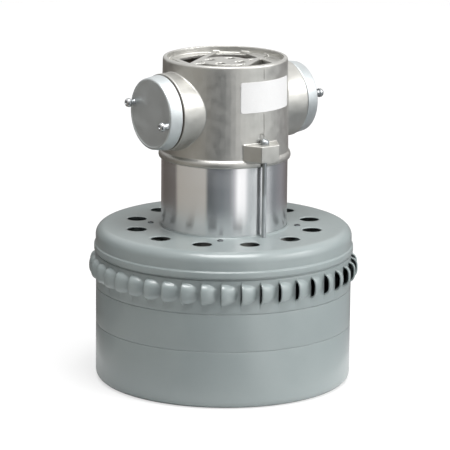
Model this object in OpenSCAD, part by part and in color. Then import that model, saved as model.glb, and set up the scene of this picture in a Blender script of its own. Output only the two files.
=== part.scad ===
// Three-stage vacuum motor: a stacked fan case below, a universal motor above.
// Millimetres, +Z up along the shaft, origin at the centre of the flat bottom face.
// The two brush bosses point along X, the two through bolts stand on -Y and +Y.

/* [Fan case] */
// Outside radius of the three cans
case_r = 106.7; // [100:0.1:120]
// Sheet thickness of the cans and of the vent cover
sheet_t = 1.2; // [0.9:0.1:1.8]
// Height of the bottom can
bottom_h = 47.8; // [42:0.1:60]
// Height of the middle can
middle_h = 31.2; // [28:0.1:42]
// Height of the louvred can
louvre_h = 28.6; // [27:0.1:40]
// Rounded edge under the bottom can
bottom_edge_r = 6; // [3:0.5:10]
// Depth of the spigot with which a can enters the one below it
spigot_h = 4; // [3:0.5:6]
// Radius of the air inlet in the bottom
inlet_r = 35; // [28:0.5:42]
// Radius of the rolled edge of the air inlet
inlet_roll_r = 3; // [2:0.5:4]
// Height of the inlet's lip above the bottom face
inlet_lip_h = 8; // [6:0.5:10]

/* [Louvres] */
// Number of louvres round the top can
louvre_count = 42; // [30:2:46]
// Height of one louvre
louvre_len = 20.4; // [14:0.1:23]
// How far a louvre stands out of the can
louvre_rise = 5.8; // [3:0.1:7]
// Height of the louvres' middle above the seam below them
louvre_mid_h = 16.8; // [13:0.1:18]
// Angle of the first louvre's open edge from the -Y direction
louvre_phase = -36.2; // [-40:0.1:40]

/* [Vent cover] */
// Outside radius of the cover's straight side
cover_r = 106.9; // [100:0.1:122]
// Height of the cover
cover_h = 21; // [18:0.1:30]
// Radius of the cover's shoulder
cover_shoulder_r = 8; // [5:0.5:12]
// How far the bead round the cover's bottom edge stands out
bead_rise = 1.3; // [0.8:0.1:2]
// Height of that bead
bead_h = 5.6; // [4:0.1:7]
// Number of cooling air outlets in the cover
vent_count = 12; // [8:1:12]
// Radius of one cooling air outlet
vent_r = 8; // [6:0.5:9]
// Distance of the outlets from the shaft
vent_pitch_r = 75; // [75:0.5:82]
// Angle of the first outlet from the -Y direction
vent_phase = -18.9; // [-20:0.1:20]
// Height of the collar that holds the motor housing
collar_h = 2.6; // [2:0.1:5]

/* [Motor housing] */
// Outside radius of the polished housing tube
housing_r = 52.5; // [50:0.1:53]
// Wall of the housing tube
housing_t = 1.2; // [1:0.1:1.6]
// Height of the tube above the cover
housing_h = 58.2; // [52:0.1:70]

/* [Commutator bracket] */
// Height of the cast commutator bracket above the housing
bracket_h = 84; // [80:0.1:95]
// How far the bracket's wall stands out past the housing tube
bracket_step = 0.5; // [0.3:0.1:2]
// Draft of the bracket's wall, in degrees
bracket_draft = 1; // [0.4:0.05:1.2]
// Wall of the bracket
bracket_t = 3.6; // [3:0.1:5]
// Height of the bead round the bracket's foot
foot_h = 6.4; // [5:0.1:8]
// How far that bead stands out
foot_rise = 1.9; // [1.5:0.1:2.5]
// Radius of that bead's rounding
foot_round_r = 5; // [4:0.1:7]
// Width of a spider rib
rib_w = 4.6; // [3.5:0.1:6]
// Depth of the ribs' tops below the rim
rib_drop = 4; // [3:0.5:6]
// Distance of the two inner ribs from the shaft
inner_rib_at = 21.8; // [21:0.1:22]
// Direction from the shaft to the first inner rib
inner_rib_angle = 126.8; // [120:0.1:135]
// Distance of the two outer ribs from the shaft
outer_rib_at = 34.1; // [32:0.1:38]
// Direction from the shaft to the first outer rib
outer_rib_angle = -9.4; // [-15:0.1:0]
// Inside radius of the shelf behind the rim
shelf_r = 41; // [39:0.5:44]

/* [Brush gear] */
// Height of the brush axis above the bracket's foot
brush_h = 43; // [40:0.1:46]
// Outside radius of a brush boss
boss_r = 31.9; // [31:0.1:34]
// Distance of a boss's face from the shaft
boss_x = 62.2; // [61:0.1:66]
// Radius of a brush cap at its boss
cap_r = 31; // [30.4:0.1:32]
// How much smaller the radius of its face is
cap_taper = 1.7; // [0.5:0.1:2]
// Thickness of a brush cap
cap_h = 11.4; // [9:0.1:13]
// Rounded edge of a brush cap
cap_edge_r = 1.5; // [1:0.1:2]
// Thickness of the holder's flange between boss and cap
holder_flange_t = 1; // [0.8:0.1:1.6]
// Distance of a cap screw from the brush axis
cap_screw_pitch_r = 25.2; // [24:0.1:25.5]
// Angle of the cap screws above level
cap_screw_angle = 14; // [10:1:35]
// Thread radius of a cap screw
cap_screw_r = 2.1; // [1.7:0.05:2.4]
// Width of a carbon brush across the shaft
brush_w = 8; // [6:0.5:10]
// Height of a carbon brush
brush_d = 16; // [12:0.5:18]
// Length of a new carbon brush
brush_len = 24; // [20:0.5:26]

/* [Through bolts] */
// Distance of a through bolt's axis from the bracket's wall
bolt_out = 3.5; // [2.9:0.1:4.5]
// Thread radius of a through bolt
bolt_r = 2.1; // [1.8:0.05:2.2]
// Radius of a through bolt's head
bolt_head_r = 3.7; // [3.5:0.1:4.2]
// Distance of a lug's flat front from the bracket's wall
lug_out = 12; // [11:0.1:14]
// Width of a lug's flat front
lug_w = 17.6; // [15:0.1:20]
// How much further each side of a lug reaches at its root
lug_spread = 9; // [6:0.1:11]
// Height of a lug's underside above the bracket's foot
lug_low_h = 5.8; // [4:0.1:8]
// Height of a lug's top above the bracket's foot
lug_top_h = 19.4; // [17:0.1:22]
// Number of small screws that hold the cover to the fan-end bracket
cover_screw_count = 4; // [2:1:4]
// Distance of those screws from the shaft
cover_screw_pitch_r = 61.2; // [61:0.1:62]
// Angle of the first cover screw from the -Y direction
cover_screw_phase = -38; // [-45:1:-30]
// Thread radius of a cover screw
cover_screw_r = 1.5; // [1.2:0.1:1.7]

/* [Shaft and bearings] */
// Radius of the shaft in its bearings and fans
shaft_r = 6; // [5:0.5:6.5]
// Outside radius of a ball bearing
bearing_r = 16; // [15:0.5:16.5]
// Width of a ball bearing
bearing_w = 10; // [9:0.5:11]
// Number of balls in a bearing
ball_count = 8; // [6:1:8]
// Radius of one ball
ball_r = 2.4; // [2:0.1:2.6]
// Running clearance between a ball and its races
ball_play = 0.04; // [0.02:0.01:0.08]

/* [Field and armature] */
// Height of the iron stacks
stack_h = 40; // [34:0.5:42]
// Depth of the field, from the housing's outside to the armature
field_depth = 25.5; // [24.5:0.1:27]
// Air gap between armature and field
air_gap = 0.6; // [0.4:0.05:1]
// Number of armature slots
slot_count = 12; // [8:1:14]
// Radius of an armature slot
slot_r = 3.2; // [2.5:0.1:3.4]
// Width of a field pole's neck
pole_w = 28; // [24:0.5:32]
// Thickness of the field's yoke
yoke_t = 6; // [5:0.5:7]
// Thickness of a pole shoe
shoe_t = 5; // [4:0.5:6]
// Width of one side of a field coil
coil_w = 8; // [6:0.5:9]
// Height of the coil heads past the iron stack
coil_head_h = 10; // [8:0.5:11]
// Height of the armature's end turns
turn_h = 11; // [9:0.5:12]
// Radius of the commutator
commutator_r = 22.5; // [21:0.5:24]
// Length of the commutator's bars
commutator_len = 25; // [22:0.5:26]
// Number of commutator bars
bar_count = 24; // [16:1:30]

/* [Label] */
// Height of the label's lower edge above the bracket's foot
label_low_h = 45.4; // [36:0.1:50]
// Height of the label
label_h = 25.3; // [18:0.1:28]
// Angle of the label's left edge from the -Y direction
label_from = -21.5; // [-25:0.5:0]
// Angle that the label covers
label_span = 63; // [30:1:66]
// Thickness of the label
label_t = 0.25; // [0.15:0.05:0.4]

/* [Fans] */
// Radius of the three working fans
fan_r = 96; // [88:0.5:98]
// Radius of a working fan's eye
fan_eye_r = 44; // [44:0.5:48]
// Height of the first fan
fan_h_1 = 16; // [12:0.5:18]
// Height of the second fan
fan_h_2 = 13; // [10:0.5:14]
// Height of the third fan
fan_h_3 = 20; // [14:0.5:20]
// Number of blades in a working fan
blade_count = 7; // [5:1:9]
// Number of vanes in a stationary fan
vane_count = 9; // [6:1:12]
// Radius of a working blade's curve
blade_arc_r = 62; // [58:1:68]
// Radius of a stationary vane's curve
vane_arc_r = 66; // [62:1:72]
// Thickness of the fans' aluminium sheet
fan_t = 1; // [0.8:0.1:1.4]
// Radius of the cooling fan
cooling_fan_r = 58; // [50:0.5:62]
// Number of blades in the cooling fan
cooling_blade_count = 11; // [8:1:14]

/* [Hidden] */
$fn = 96;

// Gap between two fixed pieces that slide together, and the running gap of a shaft
fit = 0.1;
run = 0.05;
// Overlap that makes a cut or a joint of two forms clean
eps = 0.01;
// Gap that keeps a moving piece clear of a fixed one
clear = 0.6;

// Heights of the seams, from the bottom face up
z_middle = bottom_h;
z_louvre = z_middle + middle_h;
z_plate = z_louvre + louvre_h;
z_cover = z_plate + sheet_t;
z_top = z_cover + cover_h;
z_foot = z_top + housing_h;
z_rim = z_foot + bracket_h;
z_brush = z_foot + brush_h;

bracket_r = housing_r + bracket_step;
bolt_pitch_r = bracket_r + bolt_out;
lug_front = bracket_r + lug_out;
armature_r = housing_r - field_depth;

case_in_r = case_r - sheet_t;
spigot_r = case_in_r - fit;
cover_in_z = z_top - sheet_t;

// Stages: the floor under each fan, and the fan's own bottom and top
fan_gap = 4;
disc_gap = 3;
eye_top_1 = z_middle - spigot_h;
eye_top_2 = z_louvre - spigot_h;
fan_z_1 = sheet_t + fan_gap;
fan_z_2 = eye_top_1 + fan_gap;
fan_z_3 = eye_top_2 + fan_gap;
fan_top_1 = fan_z_1 + fan_h_1;
fan_top_2 = fan_z_2 + fan_h_2;
fan_top_3 = fan_z_3 + fan_h_3;

// Cooling fan, and the fan-end bracket with the lower bearing, hung under the cover
cooling_fan_z = z_cover + 2.2;
cooling_fan_h = 8.5;
flange_t = 4.3;
flange_r = vent_pitch_r - vent_r - 1;
flange_z = cover_in_z - flange_t;
hub_wall = 4;
hub_r = bearing_r + hub_wall;
lower_bearing_z = cooling_fan_z + cooling_fan_h + 2.5;
pilot_wall = 4.2;
pilot_r = housing_r - housing_t - fit;
pilot_h = 16.4;
stack_z = cover_in_z + pilot_h;
stack_top = stack_z + stack_h;

// Upper bearing under the top of the bracket's hub
rib_top = z_rim - rib_drop;
hub_lid_t = 3;
spring_room = 1.6;
upper_bearing_z = rib_top - hub_lid_t - spring_room - bearing_w;
shaft_top = upper_bearing_z + bearing_w - 0.5;
race_mid_r = (bearing_r + shaft_r) / 2;

// Rotor parts: the shaft's thicker middle, and what clamps the working fans
shaft_step = 1.5;
body_r = shaft_r + shaft_step;
spacer_wall = 4;
spacer_r = shaft_r + spacer_wall;
washer_lip = 4;
blade_root = 10;
shaft_end_z = fan_top_1 - fan_t - 10;
nut_h = 6.5;
washer_t = 1.6;

commutator_z = z_brush - commutator_len / 2;
commutator_hub_r = 12;
brush_run = 0.2;
brush_in_x = commutator_r + brush_run;
brush_out_x = brush_in_x + brush_len;
cap_in_x = boss_x + holder_flange_t;
cap_out_x = cap_in_x + cap_h;
cap_floor_t = 4;
spring_seat_x = cap_out_x - cap_floor_t;
holder_in_x = commutator_r + 5;
boss_root_depth = 20;
boss_root_x = bracket_r - boss_root_depth;
pillar_wall = 3;
pillar_len = 12;
cap_thread_len = 8;

lug_bottom_z = z_foot + lug_low_h;
lug_top_z = z_foot + lug_top_h;
bolt_end_z = flange_z - 3;

case_colour = [0.56, 0.60, 0.59];
cast_colour = [0.60, 0.60, 0.58];
polish_colour = [0.78, 0.78, 0.80];
steel_colour = [0.66, 0.66, 0.68];
dark_steel_colour = [0.30, 0.30, 0.31];
fan_colour = [0.76, 0.77, 0.78];
iron_colour = [0.26, 0.27, 0.30];
copper_colour = [0.72, 0.42, 0.25];
brass_colour = [0.76, 0.62, 0.30];
phenolic_colour = [0.16, 0.12, 0.10];
carbon_colour = [0.12, 0.12, 0.13];
cap_colour = [0.50, 0.52, 0.54];
white_colour = [0.93, 0.93, 0.92];

// A turn about the shaft, counted from -Y towards +X as seen from the front
module at_angle(angle, r = 0) {
    rotate([0, 0, angle - 90]) translate([r, 0, 0]) children();
}

// A plain ring
module ring(r_out, r_in, z, h) {
    translate([0, 0, z]) difference() {
        cylinder(r = r_out, h = h);
        translate([0, 0, -eps]) cylinder(r = r_in, h = h + 2 * eps);
    }
}

// Half section of a can: a straight side over a rounded bottom edge
module can_section(r, h, edge_r) {
    translate([0, edge_r]) square([r, h - edge_r]);
    square([r - edge_r, h]);
    translate([r - edge_r, edge_r]) circle(edge_r);
}

// Half section of a can's wall, with the spigot that enters the can below
module spigot_section(z, h) {
    translate([case_in_r, z]) square([sheet_t, h]);
    translate([spigot_r - sheet_t, z - spigot_h]) square([sheet_t, spigot_h + sheet_t]);
    translate([spigot_r - sheet_t, z]) square([case_r - spigot_r + sheet_t, sheet_t]);
}

module bottom_shell() {
    color(case_colour) rotate_extrude() {
        difference() {
            can_section(case_r, bottom_h, bottom_edge_r);
            translate([0, sheet_t]) can_section(case_in_r, bottom_h, bottom_edge_r - sheet_t);
            square([inlet_r + inlet_roll_r, bottom_h]);
        }
        translate([inlet_r + inlet_roll_r, inlet_roll_r]) intersection() {
            difference() {
                circle(inlet_roll_r);
                circle(inlet_roll_r - sheet_t);
            }
            translate([-inlet_roll_r, -inlet_roll_r]) square(inlet_roll_r);
        }
        translate([inlet_r, inlet_roll_r]) square([sheet_t, inlet_lip_h - inlet_roll_r]);
    }
}

module middle_shell() {
    color(case_colour) rotate_extrude() spigot_section(z_middle, middle_h);
}

// One half ball whose flat face is the louvre's open edge
module louvre_half(r, back) {
    intersection() {
        sphere(r);
        translate([-r, -back, -r]) cube([2 * r, r + back, 2 * r]);
    }
}

// The can with the exhaust louvres: each is a scoop of sheet pressed outwards, open on one side
module louvre_shell() {
    half_len = louvre_len / 2;
    scoop_r = (half_len * half_len + louvre_rise * louvre_rise) / (2 * louvre_rise);
    scoop_at = case_r + louvre_rise - scoop_r;
    color(case_colour) difference() {
        union() {
            rotate_extrude() {
                spigot_section(z_louvre, louvre_h);
                translate([case_in_r - spigot_h, z_plate - sheet_t]) square([spigot_h + eps, sheet_t]);
            }
            difference() {
                for (i = [0:louvre_count - 1])
                    at_angle(louvre_phase + i * 360 / louvre_count, scoop_at)
                        translate([0, 0, z_louvre + louvre_mid_h]) louvre_half(scoop_r, 0);
                translate([0, 0, z_middle]) cylinder(r = case_r - sheet_t / 2, h = z_cover);
            }
        }
        for (i = [0:louvre_count - 1])
            at_angle(louvre_phase + i * 360 / louvre_count, scoop_at)
                translate([0, 0, z_louvre + louvre_mid_h]) louvre_half(scoop_r - sheet_t, eps);
    }
}

// The plate between working air and cooling air, with its shaft hole
module case_top_plate() {
    color(case_colour) ring(case_r - 0.7, spacer_r + clear, z_plate, sheet_t);
}

// A flat plate with the eye through which a stage draws its air
module eye_plate(z_top_face) {
    color(fan_colour) ring(spigot_r, inlet_r, z_top_face - sheet_t, sheet_t);
}

module eye_plate_1() {
    eye_plate(eye_top_1);
}

module eye_plate_2() {
    eye_plate(eye_top_2);
}

// Half section of the vent cover's outside, from the shaft outwards
module cover_section(inset) {
    r = cover_r - inset;
    h = cover_h - inset;
    edge_r = cover_shoulder_r - inset;
    translate([0, z_cover - eps]) {
        square([r, h - edge_r + eps]);
        square([r - edge_r, h + eps]);
        translate([r - edge_r, h - edge_r + eps]) circle(edge_r);
    }
}

// Pressed cover over the cooling fan, with its ring of round outlets
module vent_cover() {
    bead_edge_r = 1.5;
    bead_w = bead_rise + sheet_t;
    collar_in_r = housing_r + fit;
    color(case_colour) difference() {
        union() {
            rotate_extrude() {
                difference() {
                    cover_section(0);
                    cover_section(sheet_t);
                    translate([0, z_cover - 1]) square([collar_in_r, cover_h + 2]);
                    translate([0, z_cover - 1]) square([cover_r + 1, 1]);
                }
                translate([cover_r - sheet_t, z_cover]) {
                    translate([0, bead_edge_r]) square([bead_w, bead_h - 2 * bead_edge_r]);
                    square([bead_w - bead_edge_r, bead_h]);
                    for (y = [bead_edge_r, bead_h - bead_edge_r])
                        translate([bead_w - bead_edge_r, y]) circle(bead_edge_r);
                }
                translate([collar_in_r, z_top - sheet_t]) square([sheet_t, sheet_t + collar_h]);
                translate([collar_in_r, z_top - eps]) difference() {
                    square(2 * sheet_t);
                    translate([2 * sheet_t, 2 * sheet_t]) circle(sheet_t);
                }
            }
        }
        for (i = [0:vent_count - 1])
            at_angle(vent_phase + i * 360 / vent_count, vent_pitch_r)
                translate([0, 0, cover_in_z - 1]) cylinder(r = vent_r, h = sheet_t + 2);
        for (i = [0:cover_screw_count - 1])
            at_angle(cover_screw_phase + i * 360 / cover_screw_count, cover_screw_pitch_r)
                translate([0, 0, cover_in_z - 1]) cylinder(r = cover_screw_r + fit, h = sheet_t + 2);
        for (a = [0, 180])
            at_angle(a, bolt_pitch_r)
                translate([0, 0, cover_in_z - 1]) cylinder(r = bolt_r + fit, h = sheet_t + collar_h + 2);
    }
}

// Plan of one curved blade, from radius r_in to r_out, leaning back by sweep degrees
module blade_plan(r_in, r_out, arc_r, thick) {
    intersection() {
        difference() {
            circle(r_out);
            circle(r_in);
        }
        translate([(r_in + r_out) / 2, 0]) rotate(50) translate([-arc_r, 0]) difference() {
            circle(arc_r + thick / 2);
            circle(arc_r - thick / 2);
        }
        translate([0, -r_out]) square([r_out, 2 * r_out]);
        rotate(-20) translate([0, -r_out / 2]) square([r_out, 1.4 * r_out]);
    }
}

// A working fan: two discs with curved blades between them, drawing air in at the lower disc's eye
module working_fan(z, h) {
    eye_r = fan_eye_r;
    color(fan_colour) {
        ring(fan_r, eye_r, z, fan_t);
        ring(fan_r, shaft_r + run, z + h - fan_t, fan_t);
        translate([0, 0, z + fan_t - eps]) linear_extrude(h - 2 * fan_t + 2 * eps)
            for (i = [0:blade_count - 1])
                rotate(i * 360 / blade_count) blade_plan(eye_r + 2, fan_r - 1, blade_arc_r, fan_t);
    }
}

module fan_1() {
    working_fan(fan_z_1, fan_h_1);
}

module fan_2() {
    working_fan(fan_z_2, fan_h_2);
}

module fan_3() {
    working_fan(fan_z_3, fan_h_3);
}

// A stationary fan: a disc with vanes on top that lead the air back in to the next eye
module stationary_fan(z, top_z) {
    disc_r = fan_r + 3;
    color(fan_colour) {
        ring(disc_r, spacer_r + clear, z, fan_t);
        translate([0, 0, z + fan_t - eps]) linear_extrude(top_z - z - fan_t + eps)
            for (i = [0:vane_count - 1])
                rotate(i * 360 / vane_count)
                    mirror([0, 1]) blade_plan(inlet_r + fan_gap * 2, spigot_r, vane_arc_r, fan_t);
    }
}

module stationary_fan_1() {
    stationary_fan(fan_top_1 + disc_gap, eye_top_1 - sheet_t);
}

module stationary_fan_2() {
    stationary_fan(fan_top_2 + disc_gap, eye_top_2 - sheet_t);
}

// Straight-bladed fan that draws cooling air down through the motor
module cooling_fan() {
    color(fan_colour) {
        ring(cooling_fan_r, shaft_r + run, cooling_fan_z, fan_t);
        ring(spacer_r, shaft_r + run, cooling_fan_z, cooling_fan_h);
        for (i = [0:cooling_blade_count - 1])
            at_angle(i * 360 / cooling_blade_count, spacer_r + blade_root)
                translate([0, -fan_t / 2, cooling_fan_z + fan_t - eps])
                    cube([cooling_fan_r - spacer_r - blade_root - fan_t, fan_t, cooling_fan_h - fan_t]);
    }
}

// Four tubes on the shaft that hold the fans apart
module fan_spacers() {
    spans = [
        [fan_top_1, fan_top_2 - fan_t],
        [fan_top_2, fan_top_3 - fan_t],
        [fan_top_3, cooling_fan_z],
        [cooling_fan_z + cooling_fan_h, lower_bearing_z]
    ];
    color(steel_colour)
        for (s = spans)
            ring(s[0] == cooling_fan_z + cooling_fan_h ? shaft_r + 2 : spacer_r,
                 shaft_r + run, s[0], s[1] - s[0]);
}

module shaft_washer() {
    color(steel_colour) ring(spacer_r + washer_lip, shaft_r + run, fan_top_1 - fan_t - washer_t, washer_t);
}

module shaft_nut() {
    nut_z = fan_top_1 - fan_t - washer_t - nut_h;
    color(steel_colour) translate([0, 0, nut_z]) difference() {
        cylinder(r = shaft_r * 1.85, h = nut_h, $fn = 6);
        translate([0, 0, -eps]) cylinder(r = shaft_r + run, h = nut_h + 2 * eps);
    }
}

// Cast bracket under the cover: flange, four arms, bearing hub and the ring that carries the field
module fan_end_bracket() {
    hub_lip = 1.2;
    hub_z = lower_bearing_z - hub_lip;
    hub_h = bearing_w + 2 * hub_lip;
    arm_w = 9;
    ring_in_r = pilot_r - pilot_wall;
    color(cast_colour) difference() {
        union() {
            ring(flange_r, ring_in_r, flange_z, flange_t);
            ring(pilot_r, ring_in_r, flange_z + flange_t - eps, pilot_h + eps);
            translate([0, 0, hub_z]) cylinder(r = hub_r, h = hub_h);
            intersection() {
                translate([0, 0, flange_z]) cylinder(r = ring_in_r + 1, h = 7);
                for (a = [0, 90])
                    rotate([0, 0, a + 45]) translate([-flange_r, -arm_w / 2, flange_z])
                        cube([2 * flange_r, arm_w, 7]);
            }
        }
        translate([0, 0, lower_bearing_z]) cylinder(r = bearing_r + run, h = hub_h);
        translate([0, 0, hub_z - 1]) cylinder(r = bearing_r - 4, h = hub_h);
        for (i = [0:cover_screw_count - 1])
            at_angle(cover_screw_phase + i * 360 / cover_screw_count, cover_screw_pitch_r)
                translate([0, 0, flange_z - 1]) cylinder(r = cover_screw_r + run, h = flange_t + 2);
        for (a = [0, 180])
            at_angle(a, bolt_pitch_r)
                translate([0, 0, flange_z - 1]) cylinder(r = bolt_r + run, h = flange_t + 2);
    }
}

// Polished tube round the field, clamped between the cover and the bracket's foot
module motor_housing() {
    color(polish_colour) ring(housing_r, housing_r - housing_t, cover_in_z, z_foot - cover_in_z);
}

// Radius of the bracket's drafted wall at a height
function wall_r(z) = bracket_r - (z - z_foot - foot_h) * tan(bracket_draft);

// Places its children at the brush axis of one side, with X outwards
module on_brush_side(side) {
    translate([0, 0, z_brush]) rotate([0, 0, side > 0 ? 0 : 180]) children();
}

// A cylinder along X from x0 to x1
module bar_x(r, x0, x1) {
    translate([x0, 0, 0]) rotate([0, 90, 0]) cylinder(r = r, h = x1 - x0);
}

// Places its children at the two cap screws of one side
module at_cap_screws() {
    for (s = [-1, 1])
        translate([0, s * cap_screw_pitch_r * cos(cap_screw_angle),
                   -s * cap_screw_pitch_r * sin(cap_screw_angle)])
            children();
}

// Plan of one bolt lug, its flat front outwards
module lug_plan() {
    root_half = lug_w / 2 + lug_spread;
    root_y = bracket_r - 4;
    polygon([
        [-root_half, -root_y],
        [-lug_w / 2, -lug_front],
        [lug_w / 2, -lug_front],
        [root_half, -root_y]
    ]);
}

// Solid outside form of the bracket; its foot's bead is a roll that meets the wall at foot_h
module bracket_outside() {
    rim_edge_r = 2;
    top_r = wall_r(z_rim - rim_edge_r);
    roll_h = foot_h - sqrt(foot_rise * (2 * foot_round_r - foot_rise));
    rotate_extrude() {
        polygon([
            [0, z_foot],
            [bracket_r, z_foot],
            [bracket_r, z_foot + foot_h],
            [top_r, z_rim - rim_edge_r],
            [top_r - rim_edge_r, z_rim],
            [0, z_rim]
        ]);
        translate([top_r - rim_edge_r, z_rim - rim_edge_r]) circle(rim_edge_r);
        intersection() {
            translate([bracket_r + foot_rise - foot_round_r, z_foot + roll_h]) circle(foot_round_r);
            translate([bracket_r - 1, z_foot]) square([foot_rise + 2, foot_h + 1]);
        }
    }
    for (side = [-1, 1])
        on_brush_side(side) bar_x(boss_r, boss_root_x, boss_x);
    for (a = [0, 180])
        rotate([0, 0, a]) translate([0, 0, lug_bottom_z]) linear_extrude(lug_top_z - lug_bottom_z)
            lug_plan();
}

// Places its children once for each rib of a pair, with X towards the rib
module at_rib_pair(angle) {
    for (a = [angle, angle + 180])
        rotate([0, 0, a]) children();
}

// Ribs, shelf and hub of the spider that carries the upper bearing
module bracket_spider() {
    rib_depth = 9;
    shelf_t = 3;
    shelf_drop = 1.4;
    span = wall_r(z_rim) - 1;
    intersection() {
        translate([0, 0, z_foot]) cylinder(r = span, h = bracket_h);
        union() {
            for (pair = [[inner_rib_angle, inner_rib_at], [outer_rib_angle, outer_rib_at]])
                at_rib_pair(pair[0]) {
                    translate([pair[1] - rib_w / 2, -span, rib_top - rib_depth])
                        cube([rib_w, 2 * span, rib_depth]);
                    translate([0, -rib_w / 2, rib_top - rib_depth])
                        cube([pair[1], rib_w, rib_depth]);
                }
        }
    }
    ring(span - 0.8, shelf_r, rib_top - shelf_drop - shelf_t, shelf_t);
    translate([0, 0, upper_bearing_z - 1])
        cylinder(r = hub_r, h = rib_top - upper_bearing_z + 1);
}

// The four windows in the lid over the bearing
module lid_windows() {
    window_w = 7.6;
    window_at = 9.2;
    for (a = [0:90:270])
        rotate([0, 0, a + inner_rib_angle - 45])
            translate([window_at - window_w / 2, window_at - window_w / 2, rib_top - hub_lid_t - 1])
                cube([window_w, window_w, hub_lid_t + 2]);
}

// Cast commutator-end bracket: drafted wall, brush bosses, bolt lugs and bearing spider
module commutator_bracket() {
    bore_r = boss_r - 4.5;
    color(cast_colour) difference() {
        union() {
            difference() {
                bracket_outside();
                translate([0, 0, z_foot - 1])
                    cylinder(r = wall_r(z_rim) - bracket_t, h = bracket_h + 2);
                for (side = [-1, 1])
                    on_brush_side(side) bar_x(bore_r, boss_root_x, boss_x + 1);
            }
            bracket_spider();
            ring(pilot_r, pilot_r - pilot_wall, stack_top, z_foot - stack_top + 2);
            for (side = [-1, 1])
                on_brush_side(side) at_cap_screws()
                    bar_x(cap_screw_r + pillar_wall, boss_x - pillar_len, boss_x);
        }
        translate([0, 0, upper_bearing_z - 2])
            cylinder(r = bearing_r + run, h = bearing_w + spring_room + 2);
        lid_windows();
        for (side = [-1, 1])
            on_brush_side(side) at_cap_screws()
                bar_x(cap_screw_r + run, boss_x - cap_thread_len - 2, boss_x + 1);
        for (a = [0, 180])
            at_angle(a, bolt_pitch_r) {
                translate([0, 0, z_foot - 1]) cylinder(r = bolt_r + fit, h = lug_top_h + 2);
                translate([0, 0, lug_top_z]) cylinder(r = bolt_head_r + 0.8, h = 8);
            }
    }
}

// The two long bolts that clamp bracket, housing and cover
module through_bolts() {
    head_h = 3.2;
    shank_len = 42;
    color(steel_colour)
        for (a = [0, 180])
            at_angle(a, bolt_pitch_r) difference() {
                union() {
                    translate([0, 0, lug_top_z]) cylinder(r = bolt_head_r, h = head_h - 1);
                    translate([0, 0, lug_top_z + head_h - 1])
                        cylinder(r1 = bolt_head_r, r2 = bolt_head_r - 1, h = 1);
                    translate([0, 0, lug_top_z - shank_len]) cylinder(r = bolt_r - 0.25, h = shank_len + eps);
                    translate([0, 0, bolt_end_z])
                        cylinder(r = bolt_r, h = lug_top_z - shank_len - bolt_end_z + eps);
                }
                translate([-bolt_head_r - 1, -0.6, lug_top_z + head_h - 1.3])
                    cube([2 * bolt_head_r + 2, 1.2, 2]);
            }
}

module cover_screws() {
    color(dark_steel_colour)
        for (i = [0:cover_screw_count - 1])
            at_angle(cover_screw_phase + i * 360 / cover_screw_count, cover_screw_pitch_r) {
                translate([0, 0, z_top]) cylinder(r1 = cover_screw_r + 1.1, r2 = cover_screw_r + 0.7, h = 1);
                translate([0, 0, flange_z]) cylinder(r = cover_screw_r, h = z_top - flange_z + eps);
            }
}

// Stepped shaft: thread and fans below, armature in the middle, upper bearing at the top
module shaft() {
    color(steel_colour) {
        translate([0, 0, shaft_end_z]) cylinder(r = shaft_r, h = shaft_top - shaft_end_z);
        translate([0, 0, lower_bearing_z + bearing_w])
            cylinder(r = body_r, h = upper_bearing_z - lower_bearing_z - bearing_w);
    }
}

// Laminated armature stack with its open slots
module armature_core() {
    slot_at = armature_r - slot_r - 2.6;
    mouth_w = 2.4;
    color(iron_colour) translate([0, 0, stack_z]) difference() {
        cylinder(r = armature_r, h = stack_h);
        translate([0, 0, -eps]) cylinder(r = body_r + run, h = stack_h + 2 * eps);
        for (i = [0:slot_count - 1])
            rotate([0, 0, i * 360 / slot_count]) translate([slot_at, 0, -eps]) {
                cylinder(r = slot_r, h = stack_h + 2 * eps);
                translate([0, -mouth_w / 2, 0]) cube([armature_r, mouth_w, stack_h + 2 * eps]);
            }
    }
}

// Copper in the slots, the end turns over both ends and the leads up to the commutator
module armature_winding() {
    slot_at = armature_r - slot_r - 2.6;
    turn_out_r = armature_r - 1.5;
    turn_in_r = shaft_r + 3;
    edge_r = 4;
    color(copper_colour) {
        for (i = [0:slot_count - 1])
            rotate([0, 0, i * 360 / slot_count]) translate([slot_at, 0, stack_z - 1])
                cylinder(r = slot_r - 0.2, h = stack_h + 2);
        for (z = [stack_z - turn_h, stack_top])
            translate([0, 0, z]) rotate_extrude() translate([turn_in_r, 0.4]) {
                translate([0, edge_r]) square([turn_out_r - turn_in_r, turn_h - 0.8 - 2 * edge_r]);
                square([turn_out_r - turn_in_r - edge_r, turn_h - 0.8]);
                for (y = [edge_r, turn_h - 0.8 - edge_r])
                    translate([turn_out_r - turn_in_r - edge_r, y]) circle(edge_r);
            }
        translate([0, 0, stack_top + turn_h - 1]) difference() {
            cylinder(r1 = armature_r - 7, r2 = commutator_r - 4, h = commutator_z - stack_top - turn_h + 0.6);
            translate([0, 0, -1]) cylinder(r = turn_in_r, h = commutator_z - stack_top - turn_h + 4);
        }
    }
}

// Moulded core that holds the commutator bars on the shaft
module commutator_hub() {
    color(phenolic_colour)
        ring(commutator_hub_r, body_r + run, commutator_z, commutator_len);
}

// Copper bars side by side, each with a raised foot where its lead is fixed
module commutator_bars() {
    gap_w = 0.8;
    foot_len = 4;
    color(copper_colour) difference() {
        union() {
            ring(commutator_r, commutator_hub_r + fit, commutator_z, commutator_len);
            ring(commutator_r + 2.5, commutator_r - 1, commutator_z, foot_len);
        }
        for (i = [0:bar_count - 1])
            rotate([0, 0, (i + 0.5) * 360 / bar_count])
                translate([commutator_hub_r - 2, -gap_w / 2, commutator_z - 1])
                    cube([commutator_r, gap_w, commutator_len + 2]);
    }
}

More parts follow.
